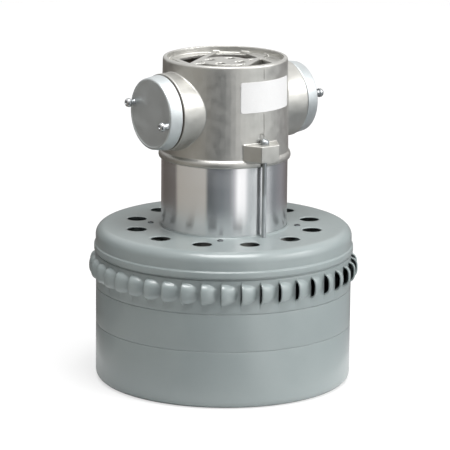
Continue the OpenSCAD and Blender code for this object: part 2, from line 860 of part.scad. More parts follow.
// Laminated field: a yoke in the housing and two poles with wide shoes round the armature
module stator_core() {
    shoe_half = 60;
    gap_r = armature_r + air_gap;
    shoe_r = gap_r + shoe_t;
    color(iron_colour) translate([0, 0, stack_z]) linear_extrude(stack_h) {
        difference() {
            circle(pilot_r);
            circle(pilot_r - yoke_t);
        }
        for (a = [0, 180])
            rotate(a) {
                difference() {
                    translate([-pole_w / 2, -pilot_r + yoke_t - 1])
                        square([pole_w, pilot_r - yoke_t - gap_r + 3]);
                    circle(gap_r);
                }
                intersection() {
                    difference() {
                        circle(shoe_r);
                        circle(gap_r);
                    }
                    polygon([
                        [0, 0],
                        [-2 * shoe_r * sin(shoe_half), -2 * shoe_r * cos(shoe_half)],
                        [2 * shoe_r * sin(shoe_half), -2 * shoe_r * cos(shoe_half)]
                    ]);
                }
            }
    }
}

// One field coil: a wound loop round a pole's neck, its heads past both ends of the stack
module field_coil(turn) {
    room = 0.4;
    head_h = coil_head_h;
    in_y = armature_r + air_gap + shoe_t + room;
    out_y = pilot_r - yoke_t - room;
    half_w = pole_w / 2 + room;
    color(copper_colour) rotate([0, 0, turn]) intersection() {
        translate([0, 0, stack_z - head_h - room]) cylinder(r = out_y, h = stack_h + 2 * head_h + 2 * room);
        difference() {
            translate([-half_w - coil_w, -out_y - 1, stack_z - head_h])
                cube([2 * half_w + 2 * coil_w, out_y - in_y + 1, stack_h + 2 * head_h]);
            translate([-half_w, -out_y - 2, stack_z - room])
                cube([2 * half_w, out_y - in_y + 4, stack_h + 2 * room]);
        }
    }
}

module field_coil_front() {
    field_coil(0);
}

module field_coil_back() {
    field_coil(180);
}

// Half section of a ball groove's two races, seen at the ball's centre
module race(r_out, r_in, z) {
    color(steel_colour) translate([0, 0, z]) difference() {
        cylinder(r = r_out, h = bearing_w);
        translate([0, 0, -eps]) cylinder(r = r_in, h = bearing_w + 2 * eps);
        translate([0, 0, bearing_w / 2]) rotate_extrude()
            translate([race_mid_r, 0]) circle(ball_r + ball_play);
    }
}

module bearing_outer(z) {
    race(bearing_r, race_mid_r + ball_r - 1, z);
}

module bearing_inner(z) {
    race(race_mid_r - ball_r + 1, shaft_r + run, z);
}

module bearing_balls(z) {
    color(polish_colour)
        for (i = [0:ball_count - 1])
            rotate([0, 0, i * 360 / ball_count]) translate([race_mid_r, 0, z + bearing_w / 2])
                sphere(ball_r);
}

// Ring that keeps the balls apart
module bearing_cage(z) {
    cage_h = 2.2 * ball_r;
    color(brass_colour) difference() {
        ring(race_mid_r + 0.7, race_mid_r - 0.7, z + bearing_w / 2 - cage_h / 2, cage_h);
        for (i = [0:ball_count - 1])
            rotate([0, 0, i * 360 / ball_count]) translate([race_mid_r, 0, z + bearing_w / 2])
                sphere(ball_r + 0.1);
    }
}

module upper_bearing_outer() {
    bearing_outer(upper_bearing_z);
}

module upper_bearing_inner() {
    bearing_inner(upper_bearing_z);
}

module upper_bearing_balls() {
    bearing_balls(upper_bearing_z);
}

module upper_bearing_cage() {
    bearing_cage(upper_bearing_z);
}

module lower_bearing_outer() {
    bearing_outer(lower_bearing_z);
}

module lower_bearing_inner() {
    bearing_inner(lower_bearing_z);
}

module lower_bearing_balls() {
    bearing_balls(lower_bearing_z);
}

module lower_bearing_cage() {
    bearing_cage(lower_bearing_z);
}

// Wavy washer that loads the upper bearing
module bearing_spring() {
    waves = 3;
    steps = 48;
    thick = 0.5;
    swing = (spring_room - thick) / 2 - run;
    mid_z = upper_bearing_z + bearing_w + spring_room / 2;
    out_r = bearing_r - 0.4;
    in_r = bearing_r - 3.2;
    section = [[in_r, -thick / 2], [out_r, -thick / 2], [out_r, thick / 2], [in_r, thick / 2]];
    points = [
        for (i = [0:steps - 1], p = section)
            let (a = i * 360 / steps)
            [p[0] * cos(a), p[0] * sin(a), mid_z + p[1] + swing * sin(waves * a)]
    ];
    faces = [
        for (i = [0:steps - 1], k = [0:3])
            let (j = (i + 1) % steps, m = (k + 1) % 4)
            [4 * i + k, 4 * i + m, 4 * j + m, 4 * j + k]
    ];
    color(steel_colour) polyhedron(points, faces);
}

// Moulded holder: a barrel into the boss, with a flange caught under the cap
module brush_holder(side) {
    barrel_r = 15;
    color(phenolic_colour) on_brush_side(side) difference() {
        union() {
            bar_x(cap_r - 0.6, boss_x, cap_in_x);
            bar_x(barrel_r, holder_in_x, boss_x + eps);
        }
        translate([holder_in_x - 1, -brush_w / 2 - 1.2, -brush_d / 2 - 1.2])
            cube([cap_in_x, brush_w + 2.4, brush_d + 2.4]);
        at_cap_screws() bar_x(cap_screw_r + 0.2, boss_x - 1, cap_in_x + 1);
    }
}

module brush_holder_left() {
    brush_holder(-1);
}

module brush_holder_right() {
    brush_holder(1);
}

// Brass guide in the holder, in which the brush slides
module brush_tube(side) {
    wall = 0.9;
    slide = 0.15;
    half_w = brush_w / 2 + slide;
    half_d = brush_d / 2 + slide;
    color(brass_colour) on_brush_side(side) difference() {
        translate([holder_in_x - 1, -half_w - wall, -half_d - wall])
            cube([cap_in_x - holder_in_x, 2 * (half_w + wall), 2 * (half_d + wall)]);
        translate([holder_in_x - 2, -half_w, -half_d])
            cube([cap_in_x - holder_in_x + 2, 2 * half_w, 2 * half_d]);
    }
}

module brush_tube_left() {
    brush_tube(-1);
}

module brush_tube_right() {
    brush_tube(1);
}

// Carbon brush, its inner end hollowed to the commutator
module brush(side) {
    color(carbon_colour) on_brush_side(side) difference() {
        translate([brush_in_x - 3, -brush_w / 2, -brush_d / 2]) cube([brush_len + 3, brush_w, brush_d]);
        translate([0, 0, -brush_d]) cylinder(r = brush_in_x, h = 2 * brush_d);
    }
}

module brush_left() {
    brush(-1);
}

module brush_right() {
    brush(1);
}

// Coil spring behind a brush, swept as a helix
module brush_spring(side) {
    wire_r = 0.35;
    coil_r = 3;
    turns = 7;
    per_turn = 16;
    sides = 6;
    end_gap = 0.05;
    x0 = brush_out_x + wire_r + end_gap;
    x1 = spring_seat_x - wire_r - end_gap;
    steps = turns * per_turn;
    points = [
        for (i = [0:steps], k = [0:sides - 1])
            let (
                a = i * 360 / per_turn,
                b = k * 360 / sides,
                r = coil_r + wire_r * cos(b),
                x = x0 + (x1 - x0) * i / steps + wire_r * sin(b)
            )
            [x, r * cos(a), r * sin(a)]
    ];
    sleeve = [
        for (i = [0:steps - 1], k = [0:sides - 1])
            let (m = (k + 1) % sides)
            [i * sides + k, (i + 1) * sides + k, (i + 1) * sides + m, i * sides + m]
    ];
    ends = [
        [for (k = [0:sides - 1]) k],
        [for (k = [sides - 1:-1:0]) steps * sides + k]
    ];
    color(steel_colour) on_brush_side(side) polyhedron(points, concat(sleeve, ends));
}

module brush_spring_left() {
    brush_spring(-1);
}

module brush_spring_right() {
    brush_spring(1);
}

// Round cap over a brush, tapered towards its face and hollow behind it
module brush_cap(side) {
    face_r = cap_r - cap_taper;
    color(cap_colour) on_brush_side(side) difference() {
        rotate([0, 90, 0]) rotate_extrude() difference() {
            union() {
                polygon([
                    [0, cap_in_x],
                    [cap_r, cap_in_x],
                    [face_r, cap_out_x - cap_edge_r],
                    [face_r - cap_edge_r, cap_out_x],
                    [0, cap_out_x]
                ]);
                translate([face_r - cap_edge_r, cap_out_x - cap_edge_r]) circle(cap_edge_r);
            }
            translate([-1, cap_in_x - 1]) square([cap_screw_pitch_r - 6.5, cap_h - cap_floor_t + 1]);
        }
        at_cap_screws() bar_x(cap_screw_r + 0.2, cap_in_x - 1, cap_out_x + 1);
    }
}

module brush_cap_left() {
    brush_cap(-1);
}

module brush_cap_right() {
    brush_cap(1);
}

// The four screws of the brush caps, each with a tall neck under its round head
module cap_screws() {
    neck_r = 2.5;
    head_r = 3.8;
    neck_h = 3.6;
    head_h = 3.8;
    edge_h = 1.8;
    color(steel_colour)
        for (side = [-1, 1])
            on_brush_side(side) at_cap_screws() {
                bar_x(cap_screw_r, boss_x - cap_thread_len, cap_out_x + eps);
                bar_x(neck_r, cap_out_x, cap_out_x + neck_h);
                translate([cap_out_x + neck_h, 0, 0]) rotate([0, 90, 0]) {
                    cylinder(r = head_r, h = head_h - edge_h);
                    translate([0, 0, head_h - edge_h])
                        cylinder(r1 = head_r, r2 = head_r - edge_h, h = edge_h);
                }
            }
}

// Blank self-adhesive label on the bracket's wall
module label() {
    label_z = z_foot + label_low_h;
    glue_t = 0.03;
    low = wall_r(label_z) + glue_t;
    high = wall_r(label_z + label_h) + glue_t;
    color(white_colour) rotate([0, 0, label_from - 90]) rotate_extrude(angle = label_span)
        polygon([
            [low, label_z],
            [low + label_t, label_z],
            [high + label_t, label_z + label_h],
            [high, label_z + label_h]
        ]);
}

bottom_shell();
middle_shell();
louvre_shell();
case_top_plate();
vent_cover();
eye_plate_1();
eye_plate_2();
stationary_fan_1();
stationary_fan_2();
fan_1();
fan_2();
fan_3();
cooling_fan();
fan_spacers();
shaft_nut();
shaft_washer();
fan_end_bracket();
motor_housing();
commutator_bracket();
through_bolts();
cover_screws();
shaft();
armature_core();
armature_winding();
commutator_hub();
commutator_bars();
stator_core();
field_coil_front();
field_coil_back();
upper_bearing_outer();
upper_bearing_inner();
upper_bearing_balls();
upper_bearing_cage();
lower_bearing_outer();
lower_bearing_inner();
lower_bearing_balls();
lower_bearing_cage();
bearing_spring();
brush_holder_left();
brush_holder_right();
brush_tube_left();
brush_tube_right();
brush_left();
brush_right();
brush_spring_left();
brush_spring_right();
brush_cap_left();
brush_cap_right();
cap_screws();
label();
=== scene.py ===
"""Looks of the vacuum motor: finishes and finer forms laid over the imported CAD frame.

Metres, +Z up along the shaft, +X along the brush axis, -Y towards the front through bolt.
Sizes are written in millimetres and turned to metres where a mesh is made.
"""
import math

import bpy
import numpy as np
from mathutils import Matrix, Vector


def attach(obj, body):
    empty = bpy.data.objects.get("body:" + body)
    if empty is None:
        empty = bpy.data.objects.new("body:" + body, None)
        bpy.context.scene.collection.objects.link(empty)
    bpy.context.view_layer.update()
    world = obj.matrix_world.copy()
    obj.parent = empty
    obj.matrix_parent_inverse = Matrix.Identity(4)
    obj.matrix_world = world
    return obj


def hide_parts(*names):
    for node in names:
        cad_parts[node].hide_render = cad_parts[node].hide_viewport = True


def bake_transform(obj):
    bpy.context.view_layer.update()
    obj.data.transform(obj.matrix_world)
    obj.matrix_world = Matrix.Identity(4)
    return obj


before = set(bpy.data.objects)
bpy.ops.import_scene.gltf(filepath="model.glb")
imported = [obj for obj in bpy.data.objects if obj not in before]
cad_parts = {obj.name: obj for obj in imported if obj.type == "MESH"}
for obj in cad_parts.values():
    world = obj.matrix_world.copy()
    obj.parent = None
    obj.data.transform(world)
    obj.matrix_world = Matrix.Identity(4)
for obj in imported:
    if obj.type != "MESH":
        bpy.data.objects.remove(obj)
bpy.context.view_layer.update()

# Bottom can: deep drawn sheet steel with a rounded lower edge and the rolled air inlet in its floor.
# Satin grey enamel, sprayed and baked: a smooth even grey with a soft sheen and a faint orange peel.


def linear(hex_colour):
    """sRGB hex to linear RGBA: c / 12.92 below 0.04045, else ((c + 0.055) / 1.055) ** 2.4."""
    c = np.array([int(hex_colour[i:i + 2], 16) for i in (1, 3, 5)]) / 255
    c = np.where(c <= 0.04045, c / 12.92, ((c + 0.055) / 1.055) ** 2.4)
    return (*c.tolist(), 1.0)


def add_node(tree, kind, inputs=None, **settings):
    """Adds one node. settings are its properties; inputs gives each socket a value or another node's output."""
    made = tree.nodes.new(kind)
    for key, value in settings.items():
        setattr(made, key, value)
    for key, value in (inputs or {}).items():
        if isinstance(value, bpy.types.NodeSocket):
            tree.links.new(value, made.inputs[key])
        else:
            made.inputs[key].default_value = value
    return made


def new_finish(name, **sockets):
    """A material with its Principled shader, whose even numbers and colours are set on its own sockets."""
    made = bpy.data.materials.new(name)
    made.use_nodes = True
    shader = made.node_tree.nodes["Principled BSDF"]
    for key, value in sockets.items():
        shader.inputs[key.replace("_", " ")].default_value = value
    return made, made.node_tree, shader


def mottle(finish, light, dark, patch_mm, rough, grain_mm, bump_mm, stretch=(1, 1, 1)):
    """Colour drifts between two greys in patches, roughness follows, and a fine grain lifts the surface.

    Each noise's scale is 1000 divided by its feature size in millimetres, on Object coordinates.
    """
    made, tree, shader = finish
    place = add_node(tree, "ShaderNodeTexCoord")
    turned = add_node(tree, "ShaderNodeMapping", {"Vector": place.outputs["Object"], "Scale": stretch})
    patch = add_node(tree, "ShaderNodeTexNoise", {"Vector": turned.outputs[0], "Scale": 1000 / patch_mm,
                                                  "Detail": 4.0, "Roughness": 0.6})
    # The Mix node's colour sockets share their names with its number sockets, so they are set by place
    tint = add_node(tree, "ShaderNodeMix", {0: patch.outputs["Fac"], 6: linear(dark), 7: linear(light)},
                    data_type="RGBA")
    tree.links.new(tint.outputs[2], shader.inputs["Base Color"])
    sheen = add_node(tree, "ShaderNodeMapRange", {"Value": patch.outputs["Fac"], "From Min": 0.3, "From Max": 0.7,
                                                  "To Min": rough[0], "To Max": rough[1]})
    tree.links.new(sheen.outputs[0], shader.inputs["Roughness"])
    grain = add_node(tree, "ShaderNodeTexNoise", {"Vector": turned.outputs[0], "Scale": 1000 / grain_mm,
                                                  "Detail": 2.0})
    lift = add_node(tree, "ShaderNodeBump", {"Height": grain.outputs["Fac"], "Strength": 1.0,
                                             "Distance": bump_mm / 1000})
    tree.links.new(lift.outputs[0], shader.inputs["Normal"])
    return made


def soft_profile(corners, steps=5):
    """A closed outline whose corners, rows of (r, z, radius) in mm, are turned to arcs.

    Each arc's centre lies on the corner's bisector at radius / sin(half angle), and runs between the two
    points where it touches the sides.
    """
    c = np.asarray(corners, float)
    p, radius = c[:, :2], c[:, 2:]
    to_last = np.roll(p, 1, 0) - p
    to_next = np.roll(p, -1, 0) - p
    to_last /= np.linalg.norm(to_last, axis=1, keepdims=True)
    to_next /= np.linalg.norm(to_next, axis=1, keepdims=True)
    half = np.arccos(np.clip((to_last * to_next).sum(1, keepdims=True), -1, 1)) / 2
    middle = to_last + to_next
    middle /= np.linalg.norm(middle, axis=1, keepdims=True)
    centre = p + middle * radius / np.sin(half)
    first = p + to_last * radius / np.tan(half) - centre
    last = p + to_next * radius / np.tan(half) - centre
    a = np.arctan2(first[:, 1], first[:, 0])
    turn = (np.arctan2(last[:, 1], last[:, 0]) - a + np.pi) % (2 * np.pi) - np.pi
    t = np.linspace(0, 1, steps)[None, :]
    angle = a[:, None] + turn[:, None] * t
    ring = np.stack([np.cos(angle), np.sin(angle)], -1) * radius[:, None, :] + centre[:, None, :]
    return ring.reshape(-1, 2)


def grid_faces(rows, cols, wrap_rows=False, wrap_cols=False):
    """Quads of a grid of rows x cols points, joined at its ends where asked."""
    i = np.arange(rows if wrap_rows else rows - 1)[:, None]
    j = np.arange(cols if wrap_cols else cols - 1)[None, :]
    k, m = (i + 1) % rows, (j + 1) % cols
    return np.stack([i * cols + j, i * cols + m, k * cols + m, k * cols + j], -1).reshape(-1, 4)


def add_piece(name, points, faces, finish, slot, stands_for=(), body="motor", sharp=38, thick=0):
    """Makes the piece: welds points closer than 0.1 micron, drops flat quads, turns a closed form's faces out.

    points are in mm. With thick, the sheet gets a wall of that many mm behind its faces. A body of None leaves the
    piece free for a blend.
    """
    keys = np.round(points * 1e4).astype(np.int64)
    _, keep, where = np.unique(keys, axis=0, return_index=True, return_inverse=True)
    v, f = points[keep] / 1000, where.reshape(-1)[faces]
    same = f == np.roll(f, -1, 1)
    quads = f[~same.any(1)]
    thin = f[same.sum(1) == 1]
    at = np.argmax(same[same.sum(1) == 1], axis=1)
    order = (at[:, None] + np.array([0, 2, 3])) % 4
    tris = np.take_along_axis(thin, order, 1) if len(thin) else np.empty((0, 3), np.int64)
    fans = np.concatenate([quads[:, [0, 1, 2]], quads[:, [0, 2, 3]], tris])
    volume = (v[fans[:, 0]] * np.cross(v[fans[:, 1]], v[fans[:, 2]])).sum()
    if volume < 0 and not thick:
        quads, tris = quads[:, ::-1], tris[:, ::-1]
    mesh = bpy.data.meshes.new(name)
    mesh.from_pydata(v.tolist(), [], quads.tolist() + tris.tolist())
    mesh.validate()
    mesh.shade_smooth()
    mesh.set_sharp_from_angle(angle=math.radians(sharp))
    piece = bpy.data.objects.new(name, mesh)
    bpy.context.scene.collection.objects.link(piece)
    mesh.materials.append(finish)
    if thick:
        wall = piece.modifiers.new("wall", "SOLIDIFY")
        wall.thickness, wall.offset, wall.use_even_offset = thick / 1000, -1, True
    if body:
        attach(piece, body)
    if stands_for:
        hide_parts(*stands_for)
    return piece


def revolve(outline, count=216, start=0.0, shut=True):
    """Points and faces of an outline (r, z) carried round the shaft from the angle start: x = r cos a, y = r sin a.

    With shut, the outline's last point is joined to its first.
    """
    a = start + np.arange(count) * 2 * np.pi / count
    r, z = outline[:, :1], outline[:, 1:]
    points = np.stack([r * np.cos(a), r * np.sin(a), z + 0 * a], -1)
    return points.reshape(-1, 3), grid_faces(len(outline), count, shut, True)


enamel = mottle(new_finish("satin grey baked enamel", Metallic=0.0, Coat_Weight=0.5, Coat_Roughness=0.14),
                "#889191", "#828B8B", 26, (0.34, 0.42), 1.4, 0.006)
case_r, sheet, inlet_r, inlet_h = 106.7, 1.2, 35, 8
z_middle, z_louvre, cover_z = 47.8, 79.0, 129.8
can_outline = soft_profile([(inlet_r, inlet_h, 0.5), (inlet_r, 0, 3), (case_r, 0, 6), (case_r, z_middle, 0.55),
                            (case_r - sheet, z_middle, 0.5), (case_r - sheet, sheet, 4.8),
                            (inlet_r + sheet, sheet, 1.8), (inlet_r + sheet, inlet_h, 0.5)], 7)
add_piece("bottom_can", *revolve(can_outline), enamel, "case_paint", ("bottom_shell",))

# Middle can: a plain drawn ring of the same sheet, pushed with a spigot into the can below.
# Its lower edge is turned in, so that the joint shows as a thin dark line round the case.
spigot_in, spigot_out, spigot_low = 104.2, 105.4, 43.8
ring_outline = soft_profile([(case_r, z_middle, 0.8), (case_r, z_louvre, 0.55), (case_r - sheet, z_louvre, 0.5),
                             (case_r - sheet, z_middle + sheet, 0.3), (spigot_in, z_middle + sheet, 0.6),
                             (spigot_in, spigot_low, 0.4), (spigot_out, spigot_low, 0.4), (spigot_out, z_middle, 0.3)])
add_piece("middle_can", *revolve(ring_outline), enamel, "case_paint", ("middle_shell",))

# Louvred can: forty-two scoops are pressed out of the sheet at one stroke, each slit along its left side.
# A scoop falls off evenly to its right; its open lip stands over the straight edge of the flat sheet beside it.
# Angles round the shaft are given in degrees from the front, which is -Y.
front = -90
louvres, louvre_mid, louvre_half, louvre_rise, louvre_reach = 42, 95.8, 8.6, 5.7, 13.2
squareness, root_round, band_fade, side_fade = 2.6, 0.35, 0.8, 1.5
pitch = 2 * np.pi / louvres
band_half = louvre_half + 0.9


def scoop(s, h):
    """How far a scoop stands out, s mm across from its slit and h mm above its middle.

    With q = 1 - (h / half)^squareness, it is rise (q - (s / reach)^2) / sqrt(q): a D at the slit, a parabola across.
    Its meeting with the sheet is rounded: half the sum of that height d and the root of d^2 + root_round^2.
    """
    q = np.clip(1 - np.abs(h / louvre_half) ** squareness, 0.01, 1)
    d = louvre_rise * (q - (s / louvre_reach) ** 2) / np.sqrt(q)
    out = (d + np.sqrt(d ** 2 + root_round ** 2)) / 2
    in_band = np.clip((band_half - np.abs(h)) / band_fade, 0, 1)
    before_next = np.clip((pitch * case_r - s) / side_fade, 0, 1)
    return out * in_band * before_next


across = np.concatenate([np.linspace(0, 0.5, 9)[:-1], np.linspace(0.5, 0.9, 9)[:-1], np.linspace(0.9, 1, 3)])
up = np.sin(np.linspace(-np.pi / 2, np.pi / 2, 37))
low_rows = np.array([(spigot_out, 75.0), (spigot_out, 78.4), (105.55, 78.85), (105.9, z_louvre), (106.1, 79.05),
                     (106.5, 79.3), (case_r, 79.75), (case_r, 82.0)])
band_rows = np.stack([np.full(len(up), case_r), louvre_mid + band_half * up], 1)
top_rows = np.array([(case_r, 106.8), (106.4, 107.35), (105.9, 107.6), (101.6, 107.6)])
rows = np.concatenate([low_rows, band_rows, top_rows])
above = np.clip(rows[:, 1] - louvre_mid, -band_half, band_half)
first_slit = math.radians(front - 36.2)
tiles = first_slit + pitch * (np.arange(louvres)[:, None] + across[None, :])
r = rows[:, 0][:, None, None] + scoop(across[None, None, :] * pitch * case_r, above[:, None, None])
r = np.broadcast_to(r, (len(rows), louvres, len(across)))
z = np.broadcast_to(rows[:, 1][:, None, None], r.shape)
a = np.broadcast_to(tiles[None], r.shape)
louvre_points = np.stack([r * np.cos(a), r * np.sin(a), z], -1).reshape(-1, 3)
at = np.arange(len(louvre_points)).reshape(len(rows), louvres, len(across))
louvre_faces = np.stack([at[:-1, :, :-1], at[:-1, :, 1:], at[1:, :, 1:], at[1:, :, :-1]], -1).reshape(-1, 4)
add_piece("louvred_can", louvre_points, louvre_faces, enamel, "case_paint", ("louvre_shell",), thick=sheet, sharp=50)

# Vent cover: one pressing with a rounded shoulder, a bead round its foot and a turned-up collar for the tube.
# Twelve round outlets are punched in its top; each twelfth of it is a patch drawn from the hole to its sides.
vents, vent_r, vent_at, vent_start = 12, 8.0, 75.0, math.radians(front - 18.9)
inner_r, outer_r, side_steps = 62.5, 95.5, 18
half_turn = np.pi / vents
sweep = np.linspace(-half_turn, half_turn, side_steps + 1)[:-1]
radii = np.linspace(inner_r, outer_r, side_steps + 1)[:-1]
edge_r = np.concatenate([0 * sweep + inner_r, radii, 0 * sweep + outer_r, inner_r + outer_r - radii])
edge_a = np.concatenate([sweep, 0 * radii + half_turn, -sweep, 0 * radii - half_turn])
edge = np.stack([edge_r * np.cos(edge_a), edge_r * np.sin(edge_a)], -1)
centre = np.array([vent_at, 0.0])
away = (edge - centre) / np.linalg.norm(edge - centre, axis=1, keepdims=True)
lip = np.array([(0.0, -0.9), (0.02, -0.5), (0.16, -0.18), (0.5, 0.0)])
shares = np.array([0.12, 0.3, 0.52, 0.76, 1.0])
flat = np.concatenate([
    centre + away * (vent_r + lip[:, :1, None]),
    (centre + away * (vent_r + lip[-1, 0])) * (1 - shares[:, None, None]) + edge * shares[:, None, None],
])
height = np.concatenate([cover_z + lip[:, 1], np.full(len(shares), cover_z)])
vent_turns = vent_start + np.arange(vents) * 2 * half_turn
x, y, z = flat[None, ..., 0], flat[None, ..., 1], np.broadcast_to(height[None, :, None], (vents, *flat.shape[:2]))
c, s = np.cos(vent_turns)[:, None, None], np.sin(vent_turns)[:, None, None]
patch_points = np.stack([x * c - y * s, x * s + y * c, z], -1).reshape(-1, 3)


def copies(faces, count, size):
    """Repeats one form's faces for count copies of it, whose points follow one another with size points each."""
    return (faces[None] + (np.arange(count) * size)[:, None, None]).reshape(-1, 4)


def arc(r, z, radius, start, end, steps):
    """Points of an arc about (r, z), its angles in degrees from +r towards +z."""
    t = np.radians(np.linspace(start, end, steps))
    return np.stack([r + radius * np.cos(t), z + radius * np.sin(t)], -1)


def dress(finish, *nodes):
    """Gives carried-over CAD nodes their finish."""
    for name in nodes:
        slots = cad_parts[name].data.materials
        slots.clear()
        slots.append(finish)


patch_faces = copies(grid_faces(len(flat), len(edge), False, True), vents, len(flat) * len(edge))
turn_start, turn_count = vent_start - half_turn, vents * side_steps
collar = np.concatenate([[(52.75, 131.3), (53.1, 131.25), (53.3, 131.0)], arc(54.5, 131.0, 1.2, 180, 270, 6),
                         [(58.5, cover_z), (inner_r, cover_z)]])
shoulder = np.concatenate([[(outer_r, cover_z)], arc(98.9, 121.8, 8, 90, 0, 12), [(106.9, 116.2)],
                           arc(107.7, 115.4, 0.8, 180, 262, 4), arc(107.2, 113.6, 1.0, 78, 0, 5),
                           arc(107.0, 110.2, 1.2, 0, -80, 5), [(105.6, 108.9)]])
collar_points, collar_faces = revolve(collar, turn_count, turn_start, False)
shoulder_points, shoulder_faces = revolve(shoulder, turn_count, turn_start, False)
cover_points = np.concatenate([patch_points, collar_points, shoulder_points])
cover_faces = np.concatenate([patch_faces, collar_faces[:, ::-1] + len(patch_points),
                              shoulder_faces[:, ::-1] + len(patch_points) + len(collar_points)])
add_piece("cover_pressing", cover_points, cover_faces, enamel, "case_paint", ("vent_cover",), thick=sheet, sharp=40)
dress(enamel, "case_top_plate")

# Cover screws: small pan heads on the cover's top, between the outlets and the collar; their dark grey is partly a
# dark plate and partly painted shade, standing for the dark of small holes there.
# Turned form with a shallow round drive; the shanks go down into the bracket's flange.


def turned_at(outline, places, axis="z", count=28):
    """An outline (r, h) that starts and ends on its axis, turned about it and set down at each place.

    h runs along the axis, which points up or to the left or right brush.
    """
    a = np.arange(count) * 2 * np.pi / count
    r, h = outline[:, :1], outline[:, 1:]
    across_1, across_2, along = r * np.cos(a), r * np.sin(a), h + 0 * a
    if axis == "z":
        one = np.stack([across_1, across_2, along], -1).reshape(-1, 3)
    else:
        side = 1 if axis == "+x" else -1
        one = np.stack([side * along, side * across_1, across_2], -1).reshape(-1, 3)
    points = (one[None] + np.asarray(places, float)[:, None, :]).reshape(-1, 3)
    return points, copies(grid_faces(len(outline), count, False, True), len(places), len(one))


# The two dark greys are partly black oxide plate and partly painted shade, put in place of the dark small holes in the
# cover's top.
dark_plate_and_hole_shade = mottle(new_finish("black oxide screw steel with painted hole shade", Metallic=1.0), "#55585A", "#3B3D3F", 2, (0.3, 0.45), 0.5,
                    0.004)
cover_screw_at, cover_screw_count = 61.2, 4
a = np.radians(front - 38 + 360 / cover_screw_count * np.arange(cover_screw_count))
screw_places = np.stack([cover_screw_at * np.cos(a), cover_screw_at * np.sin(a), 0 * a + cover_z], -1)
cover_screw = np.array([(0, 0.3), (0.7, 0.3), (0.9, 0.9), (1.6, 1.0), (2.1, 0.8), (2.5, 0.4), (2.6, 0.05), (1.5, 0),
                        (1.5, -5.4), (0, -5.5)])
add_piece("cover_screw_set", *turned_at(cover_screw, screw_places), dark_plate_and_hole_shade, "dark_steel", ("cover_screws",))

# Fans, eye plates and stationary fans: stamped and pressed aluminium sheet with a rolled grain.
# They are held inside the case and keep their CAD shape; the first is seen through the inlet.
rolled = mottle(new_finish("mill finish aluminium sheet", Metallic=1.0), "#BFC1C3", "#A9ABAE", 14, (0.28, 0.42), 0.6,
                0.004, (1, 0.12, 1))
dress(rolled, "eye_plate_1", "eye_plate_2", "stationary_fan_1", "stationary_fan_2", "fan_1", "fan_2", "fan_3",
      "cooling_fan")

# Shaft, spacers, nut and washer: ground and zinc plated steel; races and balls are hardened and polished.
# The wave spring is pressed strip. All of them keep their CAD shape.
ground = mottle(new_finish("ground shaft steel", Metallic=1.0), "#B4B5B7", "#9A9B9E", 9, (0.22, 0.34), 0.4, 0.003,
                (0.2, 0.2, 4))
dress(ground, "shaft", "fan_spacers", "shaft_nut", "shaft_washer", "bearing_spring", "upper_bearing_outer",
      "upper_bearing_inner", "lower_bearing_outer", "lower_bearing_inner")
lapped = mottle(new_finish("lapped bearing balls", Metallic=1.0), "#D3D4D6", "#C6C7CA", 3, (0.05, 0.09), 0.5, 0.0005)
dress(lapped, "upper_bearing_balls", "lower_bearing_balls")

# Iron stacks: blued electrical sheet, punched and stacked, so that fine lines run round every edge.
# The lines are drawn 1.6 mm apart, coarser than the real half millimetre, so that they show.
blued = mottle(new_finish("blued electrical sheet", Metallic=1.0), "#4A4E56", "#33363C", 5, (0.35, 0.5), 1.6, 0.05,
               (0.02, 0.02, 1))
dress(blued, "armature_core", "stator_core")

# Windings and bars: enamelled copper wire wound in layers, and turned copper bars.
# The wire shows as 0.9 mm ridges that run along each coil.
wire = mottle(new_finish("enamelled copper wire", Metallic=0.75, Coat_Weight=0.5, Coat_Roughness=0.2), "#B06A3C",
              "#8A4A24", 4, (0.28, 0.4), 0.9, 0.12, (1, 1, 0.06))
dress(wire, "armature_winding", "field_coil_front", "field_coil_back")
bars = mottle(new_finish("turned commutator copper", Metallic=1.0), "#C8855C", "#A9663F", 5, (0.2, 0.35), 0.5, 0.004,
              (0.1, 0.1, 3))
dress(bars, "commutator_bars")

# Holders and hub: moulded phenolic, nearly black with a brown cast and the dull sheen of its filler.
# Guides and cages are drawn brass; brushes are pressed carbon.
phenolic = mottle(new_finish("moulded phenolic", Metallic=0.0), "#3A2C25", "#2A201C", 3, (0.4, 0.55), 0.6, 0.01)
dress(phenolic, "commutator_hub", "brush_holder_left", "brush_holder_right")
drawn_brass = mottle(new_finish("drawn brass strip", Metallic=1.0), "#D2AE62", "#B8924A", 6, (0.22, 0.34), 0.5, 0.004,
                     (1, 0.15, 1))
dress(drawn_brass, "brush_tube_left", "brush_tube_right", "upper_bearing_cage", "lower_bearing_cage")
carbon = mottle(new_finish("pressed carbon", Metallic=0.1), "#2C2C2E", "#1E1E20", 2, (0.45, 0.6), 0.3, 0.006)
dress(carbon, "brush_left", "brush_right")

# Motor housing: a plain tube rolled from polished stainless sheet, clamped between the two brackets.
# It is buffed round its girth, so that it mirrors the room in sharp upright bands that smear along its height.
mirror = mottle(new_finish("buffed stainless tube", Metallic=1.0, Anisotropic=1.0, Anisotropic_Rotation=0.25),
                "#E6E6E7", "#DEDEDF", 18, (0.20, 0.22), 0.5, 0.028, (0.04, 0.04, 1))
tube_r, bore_r, tube_low, z_foot = 52.5, 51.3, 128.6, 188
tube_outline = soft_profile([(tube_r, tube_low, 0.2), (tube_r, z_foot, 0.3), (bore_r, z_foot, 0.3),
                             (bore_r, tube_low, 0.2)], 4)
add_piece("housing_tube", *revolve(tube_outline, 288), mirror, "polished_tube", ("motor_housing",), sharp=50)

# Brackets: die cast aluminium with rounded inside and outside edges and a fine matt skin from the die.
# The upper one is the CAD solid drawn again in small even faces and eased, which rounds every edge as a die does.
cast_skin = mottle(new_finish("die cast aluminium skin", Metallic=0.9), "#BDBCB8", "#A9A8A3", 7, (0.36, 0.48), 0.9,
                   0.02)


